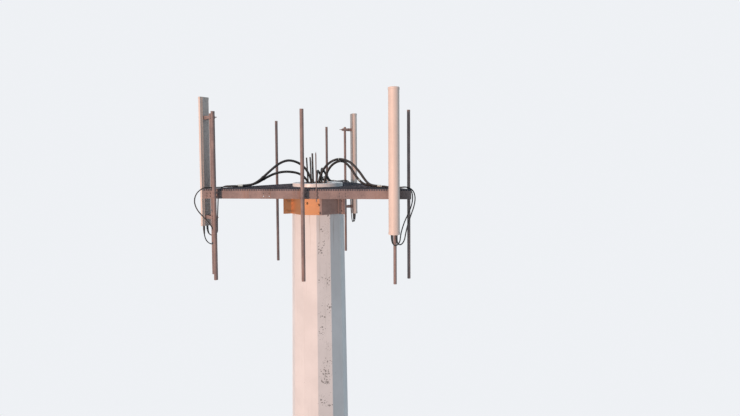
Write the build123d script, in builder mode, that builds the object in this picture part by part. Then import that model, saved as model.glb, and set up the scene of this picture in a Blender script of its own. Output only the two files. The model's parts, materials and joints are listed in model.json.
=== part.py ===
from build123d import *
import os
from math import atan, cos, degrees, radians, sin, tan

os.makedirs("parts", exist_ok=True)

# Heights are measured from the underside of the base flange; "deck" is the top of the face beams.
# Sizes are millimetres, angles are degrees from +X, and the front face looks along -Y.
deck_height = 36600
seat_gap = 0.3

# Pole: twelve-sided tapered tubes, each slipped over the one below and made of two half shells
pole_sides = 12
pole_turn = 9.1
pole_top_across = 1070
pole_taper = 0.024
pole_wall = 10
top_section_bottom = 24200
middle_section_top = 26200
middle_section_bottom = 12000
base_section_top = 14300

# Base flange and its anchor holes
flange_radius = 1200
flange_bore_radius = 760
flange_thickness = 60
anchor_circle_radius = 1080
anchor_hole_radius = 32
anchor_count = 12

# Hand hole near the base, in the facet that faces away from the front
port_facet_angle = 84.1
port_height = 1400
port_width = 280
port_length = 620
port_rim_wall = 14
port_rim_inside = 30
port_rim_outside = 60
port_cover_thickness = 8
port_cover_overlap = 18

# Cap ring on the pole's top edge
cap_radius = 527.5
cap_height = 100
cap_wall = 14
cap_opening_radius = 300
cap_edge_chamfer = 9

# Triangular platform: three faces, each with a channel beam, web outward
face_turns = {"front": -90, "right": 30, "left": 150}
corner_turns = {"front_left": 210, "front_right": 330, "back": 90}
corner_angle = 60
face_out = 1160
beam_depth = 152
beam_flange = 50
beam_web = 8
beam_flange_thickness = 9
beam_tip_trim = 13
beam_hole_radius = 9
beam_holes_along = 730
beam_hole_spacing_x = 112
beam_hole_spacing_z = 57

# Radial arms, square tube, with a knife plate that the collar ears clasp
arm_width = 102
arm_wall = 6
arm_start = 592
knife_thickness = 20
knife_start = 600
knife_end = 742
knife_brace = 900

# Corner plates behind the webs of two beams
corner_plate_thickness = 12
corner_wing = 330
corner_plate_margin = 3

# Ring collar: nine facets in three bent plates
collar_top = -200
collar_bottom = -530
collar_thickness = 12
collar_facets = 9
ear_reach = 722
ear_thickness = 14
rod_radius = 10
rod_length = 150
rod_out = 678
rod_heights = (-262, -468)

# Bar grating on the beams and arms
grating_depth = 32
grating_band = 6
bearing_bar = 5
bearing_pitch = 120
cross_bar = 7
cross_pitch = 300
grating_pole_radius = 585
grating_edge = 12
grating_joint = 6

# Upright pipes
pipe_standoff = 104
pipe_along = 1709
pipe_length = 3200
pipe_middle = -118
pipe_radius = 30.15
thick_pipe_radius = 36.5
pipe_wall = 3.9
pipes = {
    "front": ((-1, thick_pipe_radius, 22), (0, thick_pipe_radius, 35), (1, pipe_radius, 24)),
    "right": ((-1, pipe_radius, 26), (1, pipe_radius, -64)),
    "left": ((-1, pipe_radius, -55), (0, pipe_radius, -12), (1, pipe_radius, 25)),
}
pipe_out = face_out + pipe_standoff

# Pipe clamps: plate on the web, two saddles and two U-bolts
clamp_plate_width = 190
clamp_plate_height = 150
clamp_plate_thickness = 10
saddle_width = 96
saddle_height = 26
clamp_heights = (-34, -118)
u_bolt_radius = 6
small_bar_sides = 8

# Panel antennas, one at the +1 pipe of each face
antenna_length = 2570
antenna_bottom = -740
antenna_width = 195
antenna_back_out = 170
antenna_side_depth = 45
antenna_front_depth = 78
back_width = 120
back_depth = 30
back_wall = 4
antenna_drops = {"front": 0, "right": -70, "left": 10}
bracket_heights = (1420, -560)
jaw_width = 110
jaw_height = 60
jaw_depth = 34
bracket_bolt_radius = 7
bracket_bolt_tail = 130
bracket_bolt_along = 44
bracket_plate_thickness = 8
bracket_plate_height = 70
bracket_plate_spacing = 64

# Cables: black jackets on stiff feeders, thinner jumpers to the antennas
feeder_diameter = 50
jumper_diameter = 22
cable_sides = 8
feeder_connector_radius = 27
feeder_connector_length = 90
feeder_connector_body = 60
feeder_connector_neck_radius = 15
jumper_lead = 90
port_connector_radius = 14
port_connector_length = 42
port_connector_spacing = 80
arc_share = 0.45

# Spare cable ends: foot and top from the axis and the deck, and radius
spare_ends = (
    ((-100, 60, -400), (-127, 60, 720), 18),
    ((-150, 110, -400), (-190, 120, 640), 16),
    ((-205, 85, -400), (-262, 92, 630), 16),
    ((-140, 190, -400), (-165, 205, 560), 16),
    ((-32, -5, -400), (-41, -5, 720), 8),
)
guide_height = -330
guide_thickness = 10


def unit(angle):
    """Horizontal unit vector at an angle from +X."""
    return Vector(cos(radians(angle)), sin(radians(angle)), 0)


def place(turn, out, along, up):
    """Point on the face that looks along turn: out from the axis, along the face, up from the deck."""
    return unit(turn) * out + unit(turn + 90) * along + Vector(0, 0, deck_height + up)


def plan_view(turn, out=0, along=0, up=0):
    """Level plane; local x runs outward and local y along the face."""
    return Plane(place(turn, out, along, up), x_dir=unit(turn), z_dir=(0, 0, 1))


def end_view(turn, out=0, along=0, up=0):
    """Upright plane across a beam; local x runs outward and local y up."""
    return Plane(place(turn, out, along, up), x_dir=unit(turn), z_dir=unit(turn - 90))


def face_view(turn, out=0, along=0, up=0):
    """Upright plane on a face; local x runs along the face and local y up."""
    return Plane(place(turn, out, along, up), x_dir=unit(turn + 90), z_dir=unit(turn))


def save(piece, node):
    """Label a finished piece and write its file."""
    piece.part.label = node
    export_step(piece.part, f"parts/{node}.step")


def pole_corner_radius(height, inset=0):
    """Distance from the axis to a corner of the pole at a height, set in by so much at the facets."""
    return (pole_top_across + pole_taper * (deck_height - height)) / 2 - inset / cos(radians(180 / pole_sides))


# Base flange
with BuildPart() as base_flange:
    with BuildSketch():
        Circle(flange_radius)
        Circle(flange_bore_radius, mode=Mode.SUBTRACT)
        with PolarLocations(anchor_circle_radius, anchor_count):
            Circle(anchor_hole_radius, mode=Mode.SUBTRACT)
    extrude(amount=flange_thickness)
save(base_flange, "base_flange")

# Hand hole rim and cover
port_radius = pole_corner_radius(port_height, 2 * (pole_wall + seat_gap)) * cos(radians(180 / pole_sides))
port_axis = unit(port_facet_angle)
port_inner = Plane(port_axis * (port_radius - port_rim_inside) + Vector(0, 0, port_height),
                   x_dir=(0, 0, 1), z_dir=port_axis)
port_rim_depth = port_rim_inside + port_rim_outside
port_outline_length = port_length + 2 * port_rim_wall
port_outline_width = port_width + 2 * port_rim_wall

with BuildPart() as entry_port_rim:
    with BuildSketch(port_inner):
        SlotOverall(port_outline_length, port_outline_width)
        SlotOverall(port_length, port_width, mode=Mode.SUBTRACT)
    extrude(amount=port_rim_depth)
save(entry_port_rim, "entry_port_rim")

with BuildPart() as entry_port_cover:
    with BuildSketch(port_inner.offset(port_rim_depth)):
        SlotOverall(port_outline_length + 2 * port_cover_overlap, port_outline_width + 2 * port_cover_overlap)
    extrude(amount=port_cover_thickness)
save(entry_port_cover, "entry_port_cover")

# Pole sections: name, bottom, top and how many walls lie outside
pole_sections = (
    ("pole_base", flange_thickness, base_section_top, 2),
    ("pole_middle", middle_section_bottom, middle_section_top, 1),
    ("pole_top", top_section_bottom, deck_height, 0),
)
facet_slope = degrees(atan(pole_taper / 2 * cos(radians(180 / pole_sides))))
rearward = unit(pole_turn + 90)
for node, bottom, top, walls_outside in pole_sections:
    outside = walls_outside * (pole_wall + seat_gap)
    for half, facing in (("front", rearward * -1), ("rear", rearward)):
        with BuildPart() as shell:
            for inset, mode in ((outside, Mode.ADD), (outside + pole_wall, Mode.SUBTRACT)):
                with BuildSketch(Plane.XY.offset(bottom)):
                    RegularPolygon(pole_corner_radius(bottom, inset), pole_sides, rotation=pole_turn)
                extrude(amount=top - bottom, taper=facet_slope, mode=mode)
            if node == "pole_base":
                with BuildSketch(port_inner):
                    SlotOverall(port_outline_length, port_outline_width)
                extrude(amount=port_rim_depth, mode=Mode.SUBTRACT)
            split(bisect_by=Plane(facing * (seat_gap / 2), z_dir=facing), keep=Keep.TOP)
        save(shell, f"{node}_{half}")

# Cap ring
with BuildPart() as pole_cap_ring:
    with BuildSketch(Plane.XY.offset(deck_height)):
        Circle(cap_radius)
        Circle(cap_radius - cap_wall, mode=Mode.SUBTRACT)
    extrude(amount=cap_height)
    with BuildSketch(Plane.XY.offset(deck_height + cap_height - cap_wall)):
        Circle(cap_radius - cap_wall)
        Circle(cap_opening_radius, mode=Mode.SUBTRACT)
    extrude(amount=cap_wall)
    top_edges = pole_cap_ring.edges().group_by(Axis.Z)[-1]
    chamfer(top_edges.sort_by(SortBy.RADIUS)[-1], length=cap_edge_chamfer)
save(pole_cap_ring, "pole_cap_ring")

# Collar plates: three facets each, with an ear at both ends
collar_inradius = pole_corner_radius(deck_height + collar_bottom) + seat_gap
ear_offset = knife_thickness / 2 + seat_gap
facet_corner = cos(radians(180 / collar_facets))
wedge_reach = 2 * collar_inradius
wedge_start = ear_offset / sin(radians(corner_angle))
ear_start = collar_inradius / facet_corner
for face, turn in face_turns.items():
    with BuildPart() as collar_plate:
        with BuildSketch(plan_view(turn, up=collar_bottom)):
            RegularPolygon((collar_inradius + collar_thickness) / facet_corner, collar_facets,
                           rotation=180 / collar_facets)
            RegularPolygon(collar_inradius / facet_corner, collar_facets,
                           rotation=180 / collar_facets, mode=Mode.SUBTRACT)
            with Locations((wedge_start, 0)):
                Polygon((0, 0), (wedge_reach * cos(radians(corner_angle)), wedge_reach * sin(radians(corner_angle))),
                        (wedge_reach * cos(radians(corner_angle)), -wedge_reach * sin(radians(corner_angle))),
                        align=None, mode=Mode.INTERSECT)
        extrude(amount=collar_top - collar_bottom)
        for side in (-1, 1):
            corner_turn = turn + side * corner_angle
            with BuildSketch(plan_view(corner_turn, out=(ear_start + ear_reach) / 2,
                                       along=-side * (ear_offset + ear_thickness / 2), up=collar_bottom)):
                Rectangle(ear_reach - ear_start, ear_thickness)
            extrude(amount=collar_top - collar_bottom)
            with BuildSketch(end_view(corner_turn)):
                with Locations(*[(rod_out, height) for height in rod_heights]):
                    Circle(rod_radius + seat_gap)
            extrude(amount=ear_offset + 2 * ear_thickness, both=True, mode=Mode.SUBTRACT)
    save(collar_plate, f"collar_{face}")

with BuildPart() as collar_rods:
    for turn in corner_turns.values():
        with BuildSketch(end_view(turn)):
            with Locations(*[(rod_out, height) for height in rod_heights]):
                Circle(rod_radius)
        extrude(amount=rod_length / 2, both=True)
save(collar_rods, "collar_rods")

# Face beams, coped round the arms and mitred at the corners
corner_slope = tan(radians(corner_angle))
beam_half_length = face_out * corner_slope - beam_tip_trim
web_inside = face_out - beam_web
plate_inside = web_inside - corner_plate_thickness


def beside_corner(out, side, offset):
    """Point of a face where a line beside the corner's radius, offset from it, reaches a distance out."""
    reach = (out + side * offset * sin(radians(corner_angle))) / cos(radians(corner_angle))
    return (out, side * reach * sin(radians(corner_angle)) + offset * cos(radians(corner_angle)))


for face, turn in face_turns.items():
    with BuildPart() as beam:
        with BuildSketch(end_view(turn)):
            with Locations((face_out, 0)):
                Rectangle(beam_flange, beam_depth, align=(Align.MAX, Align.MAX))
            with Locations((web_inside, -beam_flange_thickness)):
                Rectangle(beam_flange, beam_depth - 2 * beam_flange_thickness,
                          align=(Align.MAX, Align.MAX), mode=Mode.SUBTRACT)
        extrude(amount=beam_half_length, both=True)
        with BuildSketch(plan_view(turn, up=-beam_depth)):
            inner_half = (face_out - beam_flange) * corner_slope - seat_gap
            shoulder = (beam_half_length + seat_gap) / corner_slope
            Polygon((face_out - beam_flange, inner_half), (shoulder, beam_half_length),
                    (face_out, beam_half_length), (face_out, -beam_half_length),
                    (shoulder, -beam_half_length), (face_out - beam_flange, -inner_half), align=None)
        extrude(amount=beam_depth, mode=Mode.INTERSECT)
        cope = arm_width / 2 + seat_gap
        for side in (-1, 1):
            with BuildSketch(plan_view(turn, up=-beam_depth)):
                Polygon(beside_corner(web_inside, side, cope), beside_corner(web_inside, side, -cope),
                        beside_corner(web_inside - 2 * beam_flange, side, -cope),
                        beside_corner(web_inside - 2 * beam_flange, side, cope), align=None)
            extrude(amount=beam_depth, mode=Mode.SUBTRACT)
        with BuildSketch(face_view(turn, out=face_out, up=-beam_depth / 2)):
            with GridLocations(2 * beam_holes_along, 1, 2, 1):
                with GridLocations(beam_hole_spacing_x, beam_hole_spacing_z, 2, 2):
                    Circle(beam_hole_radius)
        extrude(amount=-beam_web, mode=Mode.SUBTRACT)
    save(beam, f"beam_{face}")

# Corner plates
plate_tip = web_inside / cos(radians(corner_angle)) - 2 * seat_gap
wing_end_out = plate_tip - corner_wing * sin(radians(corner_angle))
wing_end_along = corner_wing * cos(radians(corner_angle))
wing_back_out = wing_end_out - corner_plate_thickness * cos(radians(corner_angle))
wing_back_along = wing_end_along - corner_plate_thickness * sin(radians(corner_angle))
inner_tip = plate_tip - corner_plate_thickness / cos(radians(corner_angle))
plate_height = beam_depth - 2 * (beam_flange_thickness + corner_plate_margin)
with BuildPart() as corner_plates:
    for turn in corner_turns.values():
        with BuildSketch(plan_view(turn, up=-(beam_depth + plate_height) / 2)):
            Polygon((plate_tip, 0), (wing_end_out, wing_end_along), (wing_back_out, wing_back_along),
                    (inner_tip, 0), (wing_back_out, -wing_back_along), (wing_end_out, -wing_end_along),
                    align=None)
        extrude(amount=plate_height)
save(corner_plates, "corner_plates")

# Arms: square tube with a pointed end between the wings, and a knife plate below the inner end
arm_tip = inner_tip - 2 * seat_gap
arm_shoulder = arm_tip - arm_width / 2 * corner_slope
for corner, turn in corner_turns.items():
    with BuildPart() as arm:
        with BuildSketch(face_view(turn, out=arm_start, up=-arm_width / 2)):
            Rectangle(arm_width, arm_width)
            Rectangle(arm_width - 2 * arm_wall, arm_width - 2 * arm_wall, mode=Mode.SUBTRACT)
        extrude(amount=arm_tip - arm_start)
        with BuildSketch(plan_view(turn, up=-arm_width)):
            Polygon((arm_start, arm_width / 2), (arm_shoulder, arm_width / 2), (arm_tip, 0),
                    (arm_shoulder, -arm_width / 2), (arm_start, -arm_width / 2), align=None)
        extrude(amount=arm_width, mode=Mode.INTERSECT)
        with BuildSketch(end_view(turn)):
            Polygon((knife_start, -arm_width), (knife_start, collar_bottom), (knife_end, collar_bottom),
                    (knife_end, collar_top), (knife_brace, -arm_width), align=None)
            with Locations(*[(rod_out, height) for height in rod_heights]):
                Circle(rod_radius + seat_gap, mode=Mode.SUBTRACT)
        extrude(amount=knife_thickness / 2, both=True)
    save(arm, f"arm_{corner}")

# Grating panels: bars and cross rods inside a banded outline
grating_out = face_out - grating_edge
outline_reach = 2 * grating_out
for face, turn in face_turns.items():
    with BuildPart() as grating:
        with BuildSketch(plan_view(turn)) as panel:
            joint_start = grating_joint / 2 / sin(radians(corner_angle))
            half = (grating_out - joint_start) * corner_slope
            Polygon((joint_start, 0), (grating_out, half), (grating_out, -half), align=None)
            Circle(grating_pole_radius, mode=Mode.SUBTRACT)
            offset(amount=-grating_band, mode=Mode.SUBTRACT)
        extrude(amount=grating_depth)
        with BuildSketch(plan_view(turn)):
            bearing_count = 2 * int(half / bearing_pitch) + 1
            with GridLocations(1, bearing_pitch, 1, bearing_count):
                Rectangle(outline_reach, bearing_bar)
            cross_count = int((grating_out - 2 * grating_band) / cross_pitch)
            for row in range(cross_count):
                with Locations((grating_out - cross_pitch * (row + 0.5), 0)):
                    Rectangle(cross_bar, 2 * half)
            Polygon((joint_start + grating_band / 2, 0), (grating_out - grating_band / 2, half - grating_band),
                    (grating_out - grating_band / 2, -half + grating_band), align=None, mode=Mode.INTERSECT)
            Circle(grating_pole_radius + grating_band / 2, mode=Mode.SUBTRACT)
        extrude(amount=grating_depth)
    save(grating, f"grating_{face}")

# Upright pipes
for face, turn in face_turns.items():
    with BuildPart() as pipe_group:
        for slot, radius, lift in pipes[face]:
            with BuildSketch(plan_view(turn, out=pipe_out, along=slot * pipe_along,
                                       up=pipe_middle + lift - pipe_length / 2)):
                Circle(radius)
                Circle(radius - pipe_wall, mode=Mode.SUBTRACT)
            extrude(amount=pipe_length)
    save(pipe_group, f"pipes_{face}")

# Pipe clamps: the empty middle place of the right face keeps its plate
for face, turn in face_turns.items():
    held = {slot: radius for slot, radius, lift in pipes[face]}
    with BuildPart() as clamp_group:
        for slot in (-1, 0, 1):
            along = slot * pipe_along
            with BuildSketch(face_view(turn, out=face_out, along=along, up=-beam_depth / 2)):
                Rectangle(clamp_plate_width, clamp_plate_height)
            extrude(amount=clamp_plate_thickness)
            if slot not in held:
                continue
            radius = held[slot] + seat_gap
            plate_front = face_out + clamp_plate_thickness
            bolt_along = radius + u_bolt_radius
            for height in clamp_heights:
                with BuildSketch(plan_view(turn, out=plate_front, along=along, up=height - saddle_height / 2)):
                    Rectangle(pipe_out - plate_front - radius / 2, saddle_width,
                              align=(Align.MIN, Align.CENTER))
                    with Locations((pipe_out - plate_front, 0)):
                        Circle(radius, mode=Mode.SUBTRACT)
                extrude(amount=saddle_height)
                legs_start = place(turn, pipe_out, along - bolt_along, height)
                legs_end = place(turn, pipe_out, along + bolt_along, height)
                crown = place(turn, pipe_out + bolt_along, along, height)
                back = unit(turn) * (pipe_out - face_out)
                with BuildLine() as bolt_path:
                    Line(legs_start - back, legs_start)
                    ThreePointArc(legs_start, crown, legs_end)
                    Line(legs_end, legs_end - back)
                with BuildSketch(Plane(legs_start - back, z_dir=unit(turn))):
                    RegularPolygon(u_bolt_radius, small_bar_sides)
                sweep()
    save(clamp_group, f"clamps_{face}")

# Panel antennas
port_out = pipe_out + antenna_back_out + back_depth + antenna_side_depth
antenna_depth = antenna_side_depth + antenna_front_depth
for face, turn in face_turns.items():
    back_out = pipe_out + antenna_back_out
    radome_out = back_out + back_depth
    bottom = antenna_bottom + antenna_drops[face]
    with BuildPart() as radome:
        with BuildSketch(plan_view(turn, out=radome_out, along=pipe_along, up=bottom)):
            half = antenna_width / 2
            with BuildLine():
                Polyline((antenna_side_depth, half), (0, half), (0, -half), (antenna_side_depth, -half))
                ThreePointArc((antenna_side_depth, -half), (antenna_depth, 0), (antenna_side_depth, half))
            make_face()
        extrude(amount=antenna_length)
    save(radome, f"antenna_{face}_radome")

    with BuildPart() as spine:
        with BuildSketch(plan_view(turn, out=back_out, along=pipe_along, up=bottom)):
            Rectangle(back_depth, back_width, align=(Align.MIN, Align.CENTER))
            with Locations((back_wall, 0)):
                Rectangle(back_depth, back_width - 2 * back_wall, align=(Align.MIN, Align.CENTER),
                          mode=Mode.SUBTRACT)
        extrude(amount=antenna_length)
    save(spine, f"antenna_{face}_back")

    with BuildPart() as brackets:
        radius = pipe_radius + seat_gap
        for height in bracket_heights:
            level = height + antenna_drops[face]
            with BuildSketch(plan_view(turn, out=pipe_out, along=pipe_along, up=level - jaw_height / 2)):
                with Locations((seat_gap, 0)):
                    Rectangle(radius + jaw_depth - seat_gap, jaw_width, align=(Align.MIN, Align.CENTER))
                with Locations((-seat_gap, 0)):
                    Rectangle(radius + jaw_depth - seat_gap, jaw_width, align=(Align.MAX, Align.CENTER))
                Circle(radius, mode=Mode.SUBTRACT)
            extrude(amount=jaw_height)
            with BuildSketch(face_view(turn, out=pipe_out - bracket_bolt_tail, along=pipe_along, up=level)):
                with GridLocations(2 * bracket_bolt_along, 1, 2, 1):
                    RegularPolygon(bracket_bolt_radius, small_bar_sides)
            extrude(amount=bracket_bolt_tail + antenna_back_out - jaw_depth)
            side_plate_length = antenna_back_out - radius - jaw_depth - seat_gap
            with BuildSketch(plan_view(turn, out=pipe_out + radius + jaw_depth, along=pipe_along,
                                       up=level - bracket_plate_height / 2)):
                with Locations((side_plate_length / 2, 0)):
                    with GridLocations(1, bracket_plate_spacing, 1, 2):
                        Rectangle(side_plate_length, bracket_plate_thickness)
                with Locations((side_plate_length, 0)):
                    Rectangle(bracket_plate_thickness, back_width, align=(Align.MAX, Align.CENTER))
            extrude(amount=bracket_plate_height)
    save(brackets, f"antenna_{face}_brackets")

# Cables, each along points chosen in the row's own axes, up from the deck
feeder_routes = {
    "feeder_left_upper": (
        (-90, -60, -420), (-95, -65, -120), (-115, -80, 180), (-260, -140, 465), (-510, -250, 590),
        (-715, -340, 530), (-930, -435, 330), (-1080, -505, 175), (-1240, -574, 68), (-1400, -640, 64)),
    "feeder_left_lower": (
        (-160, 20, -420), (-165, 15, -150), (-190, 0, 100), (-340, -70, 290), (-590, -180, 345),
        (-820, -285, 315), (-1010, -375, 215), (-1170, -447, 110), (-1320, -512, 66), (-1470, -575, 63)),
    "feeder_right_upper": (
        (20, -120, -420), (25, -120, -120), (55, -135, 180), (210, -205, 465), (470, -310, 610),
        (760, -440, 555), (965, -528, 345), (1090, -583, 165), (1205, -634, 68), (1350, -697, 64)),
    "feeder_right_lower": (
        (150, -60, -420), (150, -60, -120), (165, -70, 170), (250, -110, 380), (390, -170, 520),
        (600, -270, 570), (770, -350, 410), (910, -417, 195), (1070, -495, 68), (1240, -580, 63)),
    "feeder_back_upper": (
        (60, 110, -420), (60, 115, -120), (50, 140, 170), (20, 270, 350), (-10, 490, 400),
        (-10, 730, 310), (10, 930, 180), (35, 1110, 92), (50, 1260, 66), (60, 1390, 64)),
    "feeder_back_lower": (
        (-60, 120, -420), (-60, 125, -120), (-60, 150, 150), (-75, 280, 310), (-110, 500, 350),
        (-120, 740, 270), (-110, 940, 150), (-90, 1110, 86), (-70, 1260, 66), (-60, 1380, 63)),
}


def connector_axis(points):
    """Where a feeder ends and the direction in which its connector points."""
    return Vector(*points[-1]), (Vector(*points[-1]) - Vector(*points[-2])).normalized()


def cable(node, points, diameter):
    """A round cable along straight runs joined by tangent arcs."""
    route = [Vector(point) + Vector(0, 0, deck_height) for point in points]
    radii = []
    for before, at, after in zip(route, route[1:], route[2:]):
        turn = radians((at - before).get_angle(after - at))
        shorter = min((at - before).length, (after - at).length)
        radii.append(arc_share * shorter / tan(turn / 2))
    with BuildPart() as tube:
        with BuildLine() as path:
            FilletPolyline(*route, radius=radii)
        with BuildSketch(Plane(route[0], z_dir=route[1] - route[0])) as section:
            RegularPolygon(diameter / 2, cable_sides)
        sweep()
    save(tube, node)
    length = path.wires()[0].length
    print(node, "length", round(length), "radii", [round(radius) for radius in radii],
          "volume over section times length", round(tube.part.volume / (section.sketch.area * length), 4))


for node, points in feeder_routes.items():
    cable(node, points, feeder_diameter)

# Jumpers hang from the feeder connectors over the platform's edge to the antenna ports
jumper_routes = {
    "jumper_left_one": (
        (-1755, -770, 47), (-1830, -900, 47), (-1895, -1005, 51), (-1965, -1080, 61),
        (-2060, -1130, 20), (-2150, -1150, -90), (-2185, -1130, -240), (-2120, -1130, -390),
        (-1990, -1170, -500), (-1850, -1210, -610), (-1775, -1200, -740), (-1760, -1165, -880),
        (-1790, -1110, -1000), (-1880, -1020, -1060), (-2010, -920, -1060), (-2120, -830, -1000),
        (-2181, -760, -890), (-2181, -760, -772)),
    "jumper_left_two": (
        (-1760, -640, 66), (-1855, -665, 20), (-1898, -690, -110),
        (-1895, -715, -290), (-1900, -725, -450), (-1912, -722, -610), (-1918, -712, -760),
        (-1925, -700, -892), (-2033, -695, -955), (-2141, -691, -892), (-2141, -691, -772)),
    "jumper_right_one": (
        (1610, -822, 47), (1720, -880, 45), (1820, -920, 51), (1935, -958, 65),
        (2040, -1005, 0), (2078, -1040, -130), (2055, -1095, -280), (2000, -1165, -430),
        (1945, -1235, -590), (1905, -1295, -750), (1881, -1333, -892), (1815, -1421, -955),
        (1749, -1509, -892), (1749, -1509, -782)),
    "jumper_right_two": (
        (1590, -715, 47), (1690, -780, 45), (1795, -850, 51), (1900, -915, 65),
        (2000, -950, 10), (2030, -985, -120), (2010, -1040, -270), (1950, -1105, -415),
        (1880, -1175, -560), (1830, -1235, -710), (1808, -1290, -820), (1801, -1333, -915),
        (1735, -1421, -970), (1669, -1509, -905), (1669, -1509, -782)),
    "jumper_back_one": (
        (95, 1670, 47), (160, 1750, 46), (235, 1810, 53), (320, 1865, 65),
        (395, 1920, -5), (425, 1955, -140), (435, 1975, -300), (440, 1985, -470), (448, 1985, -640),
        (456, 1978, -800), (464, 1980, -962), (468, 2090, -1025), (472, 2200, -962), (472, 2200, -852)),
    "jumper_back_two": (
        (-45, 1660, 47), (10, 1740, 45), (90, 1815, 46), (180, 1885, 51),
        (265, 1940, 65), (340, 1990, -5), (372, 2008, -135), (385, 2015, -300), (388, 2020, -470),
        (394, 2030, -650), (402, 2042, -820), (418, 2052, -985), (425, 2160, -1048),
        (432, 2269, -975), (432, 2269, -852)),
}
feeder_of_jumper = {
    "jumper_left_one": "feeder_left_upper", "jumper_left_two": "feeder_left_lower",
    "jumper_right_one": "feeder_right_upper", "jumper_right_two": "feeder_right_lower",
    "jumper_back_one": "feeder_back_upper", "jumper_back_two": "feeder_back_lower",
}
for node, points in jumper_routes.items():
    end, ahead = connector_axis(feeder_routes[feeder_of_jumper[node]])
    start = end + ahead * feeder_connector_length
    cable(node, (start, start + ahead * jumper_lead, *points), jumper_diameter)

# Connectors on the feeders' outer ends and on the antennas' undersides
with BuildPart() as cable_connectors:
    for points in feeder_routes.values():
        end, ahead = connector_axis(points)
        body = Plane(end + Vector(0, 0, deck_height), z_dir=ahead)
        with BuildSketch(body):
            Circle(feeder_connector_radius)
        extrude(amount=feeder_connector_body)
        with BuildSketch(body.offset(feeder_connector_body)):
            Circle(feeder_connector_neck_radius)
        extrude(amount=feeder_connector_length - feeder_connector_body)
    for face, turn in face_turns.items():
        for side in (-1, 1):
            with BuildSketch(plan_view(turn, out=port_out, along=pipe_along + side * port_connector_spacing / 2,
                                       up=antenna_bottom + antenna_drops[face])):
                Circle(port_connector_radius)
            extrude(amount=-port_connector_length)
save(cable_connectors, "cable_connectors")

# Cut ends of spare cables that stand up out of the pole, and the plate that guides all cables
with BuildPart() as spare_cable_ends:
    for foot, top, radius in spare_ends:
        foot_point = Vector(*foot) + Vector(0, 0, deck_height)
        rise = Vector(*top) - Vector(*foot)
        with BuildSketch(Plane(foot_point, z_dir=rise)):
            Circle(radius)
        extrude(amount=rise.length)
save(spare_cable_ends, "spare_cable_ends")

with BuildPart() as cable_guide:
    with BuildSketch(Plane.XY.offset(deck_height + guide_height)):
        guide_top = deck_height + guide_height + guide_thickness
        RegularPolygon(pole_corner_radius(guide_top, pole_wall + seat_gap), pole_sides, rotation=pole_turn)
    extrude(amount=guide_thickness)
    held_cables = [(points[0], points[1], feeder_diameter / 2) for points in feeder_routes.values()]
    for foot, top, radius in held_cables + list(spare_ends):
        foot_point = Vector(*foot) + Vector(0, 0, deck_height)
        rise = Vector(*top) - Vector(*foot)
        with BuildSketch(Plane(foot_point, z_dir=rise)):
            Circle(radius + seat_gap)
        extrude(amount=rise.length, mode=Mode.SUBTRACT)
save(cable_guide, "cable_guide")
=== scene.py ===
import json
import math
from itertools import product

import bpy
from mathutils import Matrix, Vector


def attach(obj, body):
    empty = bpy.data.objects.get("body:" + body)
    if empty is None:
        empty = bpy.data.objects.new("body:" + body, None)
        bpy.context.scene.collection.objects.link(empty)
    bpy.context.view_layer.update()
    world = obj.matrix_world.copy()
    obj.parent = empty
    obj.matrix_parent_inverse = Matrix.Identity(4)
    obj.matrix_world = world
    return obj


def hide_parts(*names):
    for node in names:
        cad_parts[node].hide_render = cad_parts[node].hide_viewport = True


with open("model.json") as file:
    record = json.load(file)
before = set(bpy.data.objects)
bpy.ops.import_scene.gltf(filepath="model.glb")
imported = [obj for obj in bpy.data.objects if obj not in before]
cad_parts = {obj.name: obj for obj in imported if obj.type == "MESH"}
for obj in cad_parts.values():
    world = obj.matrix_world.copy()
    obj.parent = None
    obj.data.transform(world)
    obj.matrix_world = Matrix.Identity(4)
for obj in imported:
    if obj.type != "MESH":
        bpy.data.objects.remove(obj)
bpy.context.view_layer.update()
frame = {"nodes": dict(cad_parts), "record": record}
scene = bpy.context.scene

# Sizes are in metres, and directions in degrees from +X. Heights on the platform are measured from the
# deck, the top of the beams, and those of the pole from the ground.
DECK = 36.6
UP = Vector((0, 0, 1))

# Directions in which the platform's faces look, those of its corners, and both sides of a middle line
FACES = {"front": -90, "right": 30, "left": 150}
CORNERS = (210, 330, 90)
SIDES = (-1, 1)

# Platform sizes
SEAT_GAP = 0.0003
FACE_OUT = 1.160
BEAM_DEPTH = 0.152
BEAM_WEB = 0.008
CORNER_PLATE = 0.012
PIPE_OUT = 1.264
PIPE_ALONG = 1.709
THIN_PIPE = 0.03015
THICK_PIPE = 0.0365

# Antenna sizes
ANTENNA_LENGTH = 2.570
ANTENNA_BOTTOM = -0.740
ANTENNA_DROPS = {"front": 0.0, "right": -0.070, "left": 0.010}
ANTENNA_BACK_OUT = 0.170
BACK_DEPTH = 0.030


def unit(angle):
    """Level unit vector at an angle from +X."""
    return Vector((math.cos(math.radians(angle)), math.sin(math.radians(angle)), 0))


def place(turn, out, along, up):
    """Point on the face that looks along turn: out from the axis, along the face, up from the deck."""
    return unit(turn) * out + unit(turn + 90) * along + UP * (DECK + up)


def circle(radius, sides, height=0.0, turn=0.0):
    """Points of a level circle round Z; turn is in radians."""
    angles = [turn + math.tau * step / sides for step in range(sides)]
    return [Vector((radius * math.cos(angle), radius * math.sin(angle), height)) for angle in angles]


# Camera: as the photograph, beside the platform and slightly above it
PHOTO_WIDTH = 740
PHOTO_HEIGHT = 416
LENS_ROW = 179.7
SENSOR_WIDTH = 36
FOCAL_LENGTH = 22.09
VIEW_END = 500
CAMERA_PLACE = (2.174, -9.461, DECK + 0.577)
HEADING = Vector((-0.111, 0.994, 0)).normalized()
PITCH = math.radians(2.53)
ROLL = 0.0061


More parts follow.
